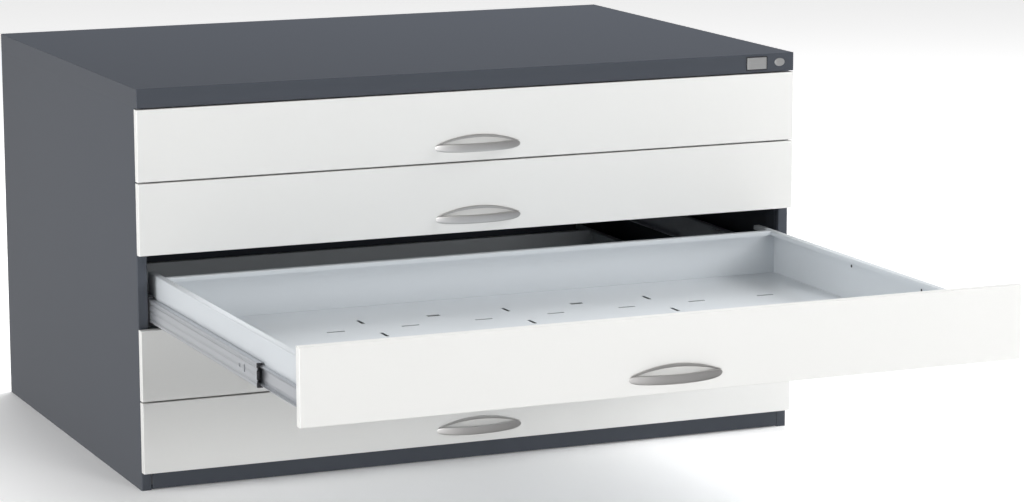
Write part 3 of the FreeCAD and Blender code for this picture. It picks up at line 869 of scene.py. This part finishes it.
# ---- drawers --------------------------------------------------------------------------------------
@dataclass
class Drawer:
    """One drawer: front, hemmed walls, slotted floor and bow handle."""

    number: int
    sheet: float = 1.0 * MM
    bend: float = 1.5 * MM
    hem_width: float = 14.0 * MM
    hem_drop: float = 8.5 * MM
    hem_clearance: float = 0.1 * MM
    wall_hole_radius: float = 3.0 * MM
    wall_hole_height: float = 76.0 * MM
    wall_hole_setbacks: tuple[float, float] = (290.0 * MM, 560.0 * MM)
    access_hole_radius: float = 7.0 * MM
    access_hole_x: float = 78.0 * MM
    handle_height: float = 28.0 * MM
    channel_rows: tuple[Point2, ...] = (
        (140.0 * MM, 44.0 * MM), (209.0 * MM, 24.0 * MM), (267.0 * MM, 44.0 * MM),
        (335.0 * MM, 44.0 * MM), (393.0 * MM, 24.0 * MM))
    channel_gap: float = 30.0 * MM
    # painted shade: depth of the dark strips that stand in for the shade inside the floor's channels
    shade_strip_depth: float = 2.0 * MM

    def __post_init__(self) -> None:
        """Reads the drawer's place from its front."""
        self.body = f"drawer_{self.number}"
        self.front = NodeBox.of(self.node("front"))

    def node(self, part: str) -> str:
        """Name of one of the drawer's nodes."""
        return f"drawer_{self.number}_{part}"

    def build(self, crescents: CrescentTree) -> None:
        """Builds the drawer's own pieces and dresses the nodes that stay."""
        repaint(self.node("front"), FRONT_PAINT)
        repaint(self.node("floor"), BOX_PAINT)
        repaint(self.node("handle_screws"), BRIGHT_ZINC)
        self.channel_shade_strips()
        self.side_walls()
        self.end_walls()
        self.handle(crescents)

    def channel_shade_strips(self) -> None:
        """Painted shade: dark strips in the stiffening channels, which show through the floor's openings in
        place of the shade inside the channels.
        """
        box = NodeBox.of(self.node("floor"))
        strips = Shell()
        low = box.low.z + self.sheet
        for row, width in self.channel_rows:
            half = width / 2 - 1.2 * self.sheet
            section = rectangle((box.high.y - row - half, low), (box.high.y - row + half, low + self.shade_strip_depth))
            strips.prism(section, Axis.X, (box.low.x + self.channel_gap, box.high.x - self.channel_gap))
        # The dark strips are painted shade that shows through the floor's slots.
        dress(strips.object(self.node("channel_shade_strips")), STRUCTURE_PAINT, self.body)

    def hemmed(self, web: float, top: float, bottom: float, inward: float) -> list[Point2]:
        """Section of a wall whose top edge is folded inwards and down.

        Args:
            web: Place of the wall's middle surface across the wall.
            top: Height of the wall's top edge.
            bottom: Height of its bottom edge.
            inward: 1 or -1, the way in which the hem is folded.

        Returns:
            The section's middle line.
        """
        half = self.sheet / 2
        lip = web + inward * (self.hem_width - self.sheet)
        corners = [(web, bottom), (web, top - half), (lip, top - half), (lip, top - self.hem_drop)]
        return rounded_path(corners, self.bend)

    def side_walls(self) -> None:
        """Left and right wall with their hems, and two small plugged holes in the right one."""
        box = NodeBox.of(self.node("side_walls"))
        walls = Shell()
        drills = Shell()
        for side in SIDES:
            web = side * (box.high.x - self.sheet / 2)
            path = self.hemmed(web, box.high.z, box.low.z, -side)
            walls.sheet(path, self.sheet, Axis.Y, (box.low.y, box.high.y))
        plugs = Shell()
        for setback in self.wall_hole_setbacks:
            centre = (self.front.low.y + setback, self.front.low.z + self.wall_hole_height)
            span = (box.high.x - 3 * self.sheet, box.high.x + 2 * self.sheet)
            drills.prism(circle(centre, self.wall_hole_radius), Axis.X, span)
            plug = (box.high.x - 1.2 * self.sheet, box.high.x - 0.1 * self.sheet)
            plugs.chamfered(circle(centre, self.wall_hole_radius * 0.99), Axis.X, plug, 0.15 * self.sheet)
        piece = drilled(walls.object(self.node("hemmed_sides")), drills)
        dress(piece, BOX_PAINT, self.body, self.node("side_walls"))
        dress(plugs.object(self.node("hole_plugs")), DARK_PLASTIC, self.body)

    def end_walls(self) -> None:
        """Hemmed back wall, notched round the side hems, and the inner front wall with its holes."""
        box = NodeBox.of(self.node("end_walls"))
        reach = box.high.x
        back = box.high.y - self.sheet / 2
        walls = Shell()
        walls.sheet(self.hemmed(back, box.high.z, box.low.z, -1), self.sheet, Axis.X, (-reach, reach))
        notch = box.high.z - self.hem_drop - self.hem_clearance
        front = box.low.y + self.sheet / 2
        walls.sheet([(front, box.low.z), (front, notch)], self.sheet, Axis.X, (-reach, reach))
        drills = Shell()
        hem_end = reach + self.sheet - self.hem_width - self.hem_clearance
        low = (back - 2 * self.hem_width, notch)
        high = (back + self.sheet, box.high.z + self.sheet)
        for side in SIDES:
            drills.prism(rectangle(low, high), Axis.X, (side * hem_end, side * (reach + self.sheet)))
            centre = (side * self.access_hole_x, self.front.low.z + self.handle_height)
            span = (front - 2 * self.sheet, front + 2 * self.sheet)
            drills.prism(circle(centre, self.access_hole_radius), Axis.Y, span)
        piece = drilled(walls.object(self.node("hemmed_ends")), drills)
        dress(piece, BOX_PAINT, self.body, self.node("end_walls"))

    def handle(self, crescents: CrescentTree) -> None:
        """Bow handle: a band that bows outwards and a thin rim that arches over it on the front."""
        box = NodeBox.of(self.node("handle"))
        face = box.high.y
        centre = self.front.low.z + self.handle_height
        half_width = centre - box.low.z
        rim_foot = centre + 6.0 * MM
        mesh = crescents.grown(self.node("bow_handle"), SATIN_METAL, {
            "Band Half Length": box.high.x,
            "Band Outer Rise": face - box.low.y,
            "Band Inner Half Length": box.high.x - 14.0 * MM,
            "Band Inner Rise": face - box.low.y - 5.0 * MM,
            "Band Half Width": half_width,
            "Band Squareness": 0.5,
            "Band Centre": (0.0, face, centre),
            "Rim Half Length": box.high.x - 2.0 * MM,
            "Rim Outer Rise": box.high.z - rim_foot,
            "Rim Inner Half Length": box.high.x - 8.0 * MM,
            "Rim Inner Rise": box.high.z - rim_foot - 6.0 * MM,
            "Rim Half Width": 2.0 * MM,
            "Rim Squareness": 0.6,
            "Rim Centre": (0.0, face - 2.0 * MM, rim_foot),
        })
        dress(Shell.wrap(mesh.name, mesh, 60.0), SATIN_METAL, self.body, self.node("handle"))


# ---- slides ---------------------------------------------------------------------------------------
class Member(Enum):
    """Section of one member: the upper half's middle line as (distance from the mount, height), in mm."""

    OUTER = ((12.25, 23.4), (12.25, 25.75), (0.75, 25.75))
    MIDDLE = ((14.0, 20.7), (12.0, 20.1), (7.6, 20.1), (5.8, 20.85), (3.75, 20.85), (3.75, 16.6),
              (5.1, 15.4), (5.1, 12.6), (3.75, 11.4), (3.75, 2.4), (4.4, 1.4))
    INNER = ((7.4, 16.15), (8.8, 15.6), (11.8, 15.6), (13.4, 16.15), (15.25, 16.15), (15.25, 10.2),
             (14.4, 9.2))
    OUTER_CAGE = ((11.0, 22.85), (2.25, 22.85))
    INNER_CAGE = ((12.8, 17.8), (6.45, 17.8))

    def corners(self) -> list[Point2]:
        """Whole section, the upper half and its mirror image, in metres."""
        upper = [(across * MM, up * MM) for across, up in self.value]
        return upper + [(across, -up) for across, up in reversed(upper)]


@dataclass
class Slides:
    """The pair of three-member ball-bearing slides of one drawer, with end stops and ball rows."""

    number: int
    strip: float = 1.5 * MM
    cage_strip: float = 0.7 * MM
    bend: float = 1.7 * MM
    hole_radius: float = 3.3 * MM
    slot_half_height: float = 7.0 * MM
    ball_pitch: float = 20.0 * MM
    length: float = 900.0 * MM

    def __post_init__(self) -> None:
        """Reads the mounting plane and the slides' height from the frame."""
        self.plane = NodeBox.of("outer_rails").high.x
        rails = NodeBox.of(self.node("inner_rails"))
        self.height = (rails.low.z + rails.high.z) / 2

    def node(self, part: str) -> str:
        """Name of one of the slides' nodes."""
        return f"drawer_{self.number}_{part}"

    def section(self, member: Member, side: int) -> list[Point2]:
        """Rounded section of a member on one side, as x and z."""
        corners = [(side * (self.plane - across), self.height + up) for across, up in member.corners()]
        return rounded_path(corners, self.bend if "CAGE" not in member.name else self.cage_strip)

    def pair(self, member: Member, thickness: float, span: Point2) -> Shell:
        """Left and right member between two places on Y."""
        shell = Shell()
        for side in SIDES:
            shell.sheet(self.section(member, side), thickness, Axis.Y, span)
        return shell

    def build(self, rows: HeadsTree) -> None:
        """Builds the members that move."""
        middle_body = f"middle_rails_{self.number}"
        self.rail(Member.MIDDLE, "middle_rails", middle_body, ((92.0 * MM, 0.0),), 65.0 * MM)
        inner_holes = ((12.0 * MM, -5.0 * MM), (21.0 * MM, 4.0 * MM))
        self.rail(Member.INNER, "inner_rails", f"drawer_{self.number}", inner_holes, 36.0 * MM)
        self.stops(middle_body)
        self.cage(rows, Member.OUTER_CAGE, "outer_cages", 9.8 * MM, 2.1 * MM)
        self.cage(rows, Member.INNER_CAGE, "inner_cages", 10.2 * MM, 1.45 * MM)

    def rail(self, member: Member, part: str, body: str, hole_places: Sequence[Point2],
             slot_y: float) -> None:
        """One pair of rails with holes and a slot through their webs near the front end.

        Args:
            member: Section of the rail.
            part: Node that the rails stand for.
            body: Body that they ride on.
            hole_places: (distance behind the front end, height) of each round hole.
            slot_y: Distance of the upright slot behind the front end.
        """
        box = NodeBox.of(self.node(part))
        front = box.high.y - self.length
        rails = self.pair(member, self.strip, (front, box.high.y))
        web = max(across for across, _ in member.corners()) if member is Member.INNER else 3.75 * MM
        drills = Shell()
        for side in SIDES:
            x = side * (self.plane - web)
            span = (x - 3 * self.strip, x + 3 * self.strip)
            for along, up in hole_places:
                drills.prism(circle((front + along, self.height + up), self.hole_radius, 16), Axis.X, span)
            low = (front + slot_y - self.hole_radius, self.height - self.slot_half_height)
            high = (front + slot_y + self.hole_radius, self.height + self.slot_half_height)
            drills.prism(rounded_rectangle(low, high, self.hole_radius * 0.9), Axis.X, span)
        piece = drilled(rails.object(self.node(part.replace("rails", "channels"))), drills)
        dress(piece, BRIGHT_ZINC, body, self.node(part))

    def stops(self, body: str) -> None:
        """Moulded end stops in the middle rails' front ends, each a toothed plate with two lugs."""
        box = NodeBox.of(self.node("middle_rails"))
        stops = Shell()
        hook = [(2.9, 21.2), (12.4, 21.2), (12.4, 17.5), (6.8, 17.5), (6.8, 13.0), (4.6, 11.6), (2.9, 13.2)]
        plug = [(3.1, 7.6), (6.8, 8.4), (6.8, -8.4), (3.1, -7.6)]
        tongue = [(5.9, 19.2), (12.0, 19.2), (12.0, 17.6), (5.9, 17.6)]
        cap = (box.low.y, box.low.y + 4.9 * MM)
        inside = (box.low.y + 4.9 * MM, box.low.y + 22.0 * MM)
        for side in SIDES:
            stops.prism(self.around(plug, side, 1), Axis.Y, (cap[0] + 1.2 * MM, cap[1]))
            for end in SIDES:
                stops.prism(self.around(hook, side, end), Axis.Y, cap)
                stops.prism(self.around(tongue, side, end), Axis.Y, inside)
        dress(stops.object(self.node("end_stops")), DARK_PLASTIC, body)

    def around(self, outline: Sequence[Point2], side: int, end: int) -> list[Point2]:
        """Outline given as (distance from the mount, height) in mm, on one side, upright or turned over."""
        return [(side * (self.plane - across * MM), self.height + end * up * MM) for across, up in outline]

    def cage(self, rows: HeadsTree, member: Member, part: str, across: float, radius: float) -> None:
        """Ball retainer and its balls.

        Args:
            rows: Tree that sets the balls out.
            member: Section of the retainer.
            part: Node that it stands for.
            across: Distance of the balls from the mounting plane.
            radius: Radius of a ball.
        """
        box = NodeBox.of(self.node(part))
        body = f"{part}_{self.number}"
        cages = self.pair(member, self.cage_strip, (box.low.y, box.high.y))
        dress(cages.object(self.node(part.replace("cages", "retainers"))), BRIGHT_ZINC, body, self.node(part))
        reach = max(up for _, up in member.corners())
        length = box.high.y - box.low.y - self.ball_pitch
        count = round(length / self.ball_pitch) + 1
        mesh = rows.grown(self.node(part.replace("cages", "balls")), BALL_STEEL, {
            "Centre": (0.0, (box.low.y + box.high.y) / 2, self.height),
            "Radius": radius,
            "Head Shape": (1.0, 1.0, 1.0),
            "Along Step": (0.0, length / (count - 1), 0.0),
            "Along Count": count,
            "Up Step": (0.0, 0.0, 2 * reach),
            "Up Count": 2,
            "Across Step": (2 * (self.plane - across), 0.0, 0.0),
            "Across Count": 2,
        })
        dress(Shell.wrap(mesh.name, mesh, 180.0), BALL_STEEL, body)


def build_outer_rails() -> None:
    """Cabinet members of all the slides, with dark caps on their front ends as painted shade for the shadow
    there.
    """
    box = NodeBox.of("outer_rails")
    shell, end_shades = Shell(), Shell()
    for number in range(1, DRAWERS + 1):
        slides = Slides(number)
        for side in SIDES:
            path = slides.section(Member.OUTER, side)
            shell.sheet(path, slides.strip, Axis.Y, (box.low.y, box.high.y))
            # Dark caps at the front ends: painted shade standing in for the shadow at the rails' ends.
            end_shade_span = (box.low.y - 0.4 * MM, box.low.y + 4.0 * MM)
            end_shades.sheet(path, slides.strip + 0.2 * MM, Axis.Y, end_shade_span)
    dress(shell.object("outer_channels"), BRIGHT_ZINC, "cabinet", "outer_rails")
    dress(end_shades.object("outer_channel_end_shades"), DARK_PLASTIC, "cabinet")


# ---- studio ---------------------------------------------------------------------------------------
@dataclass(frozen=True)
class Softbox:
    """A plain rectangular light."""

    name: str
    place: Colour
    aim: Colour
    size: Point2
    power: float
    in_gloss: bool = True
    in_diffuse: bool = True

    def build(self) -> None:
        """Adds the light."""
        data = bpy.data.lights.new(self.name, "AREA")
        data.shape = "RECTANGLE"
        data.size, data.size_y = self.size
        data.energy = self.power
        light = bpy.data.objects.new(self.name, data)
        light.location = self.place
        light.rotation_euler = (Vector(self.aim) - Vector(self.place)).to_track_quat("-Z", "Y").to_euler()
        light.visible_camera = False
        light.visible_glossy = self.in_gloss
        light.visible_diffuse = self.in_diffuse
        bpy.context.scene.collection.objects.link(light)


@dataclass
class Studio:
    """Pale floor, soft surroundings, softboxes and the camera."""

    floor_half: float = 40.0
    eye: Colour = (-2.519, -6.623, 1.605)
    yaw: float = math.radians(22.854)
    pitch: float = math.radians(-10.203)
    roll: float = math.radians(-0.196)
    lens: float = 123.61

    def build(self) -> None:
        """Builds the whole studio."""
        self.floor()
        self.surroundings()
        for light in (
            Softbox("overhead", (0.8, 1.4, 4.0), (0.3, -0.6, 0.0), (3.0, 2.0), 220.0, False),
            Softbox("high_right", (4.5, -1.5, 3.0), (0.0, -0.5, 0.3), (2.0, 2.0), 220.0, False),
            Softbox("front", (1.5, -7.5, 1.6), (0.0, -0.5, 0.4), (2.0, 1.0), 240.0, False),
            Softbox("left", (-4.5, -0.6, 1.5), (0.0, -0.6, 0.3), (2.0, 2.0), 90.0, False),
            Softbox("handle_gleam", (-5.2, -4.6, 1.0), (0.0, -0.7, 0.4), (1.0, 2.0), 160.0, True, False),
        ):
            light.build()
        self.camera()
        view = bpy.context.scene.view_settings
        view.view_transform = "Standard"

    def floor(self) -> None:
        """Large flat floor, which isn't part of the object and isn't mirrored in it."""
        half = self.floor_half
        mesh = bpy.data.meshes.new("studio_floor")
        corners = [(-half, -half, 0.0), (half, -half, 0.0), (half, half, 0.0), (-half, half, 0.0)]
        mesh.from_pydata(corners, [], [(0, 1, 2, 3)])
        mesh.materials.append(FLOOR_PAPER.material())
        floor = bpy.data.objects.new("studio_floor", mesh)
        floor.visible_glossy = False
        bpy.context.scene.collection.objects.link(floor)

    def surroundings(self) -> None:
        """White surroundings to the camera; dimmer from each side, and striped, for light and reflections."""
        world = bpy.data.worlds.new("studio")
        world.use_nodes = True
        world.node_tree.nodes.clear()
        tree = Tree(world.node_tree)
        path = tree.node("ShaderNodeLightPath")
        seen = Value(tree, path.outputs["Is Camera Ray"])
        glossy = Value(tree, path.outputs["Is Glossy Ray"])
        place = tree.node("ShaderNodeTexCoord").outputs["Generated"]
        split = tree.node("ShaderNodeSeparateXYZ", {}, {0: place})
        across, deep, high = (Value(tree, socket) for socket in split.outputs)
        soft = across.at_least(0.0) * 0.70 + (across * -1.0).at_least(0.0) * 0.75
        strips = 0.6 + (high * 14.0 + 2.4).cosine() * 0.4
        gloss = (0.26 + (deep * -1.0).at_least(0.0) * 0.4 + (across * -1.0).at_least(0.0) * 1.4) * strips
        strength = seen + (1.0 - seen) * (soft * (1.0 - glossy) + gloss * glossy)
        white = tree.node("ShaderNodeBackground", {}, {"Color": (1.0, 1.0, 1.0, 1.0), "Strength": strength})
        tree.node("ShaderNodeOutputWorld", {}, {"Surface": white.outputs[0]})
        bpy.context.scene.world = world

    def camera(self) -> None:
        """Camera at eye height of a standing person, in front and to the left."""
        ahead = Vector((math.sin(self.yaw) * math.cos(self.pitch), math.cos(self.yaw) * math.cos(self.pitch),
                        math.sin(self.pitch)))
        level = Vector((math.cos(self.yaw), -math.sin(self.yaw), 0.0))
        upright = level.cross(ahead)
        right = level * math.cos(self.roll) + upright * math.sin(self.roll)
        up = upright * math.cos(self.roll) - level * math.sin(self.roll)
        data = bpy.data.cameras.new("camera")
        data.lens = self.lens
        data.sensor_width = 36.0
        camera = bpy.data.objects.new("camera", data)
        turn = Matrix((right, up, -ahead)).transposed().to_4x4()
        camera.matrix_world = Matrix.Translation(self.eye) @ turn
        bpy.context.scene.collection.objects.link(camera)
        bpy.context.scene.camera = camera


def main() -> None:
    """Builds the carcass, the drawers, their slides and the studio, in that order."""
    logging.basicConfig(level=logging.INFO, format="%(message)s")
    heads, crescents = HeadsTree(), CrescentTree()
    Carcass().build(heads)
    build_outer_rails()
    for number in range(1, DRAWERS + 1):
        Drawer(number).build(crescents)
        Slides(number).build(heads)
    Studio().build()


if __name__ == "__main__":
    main()
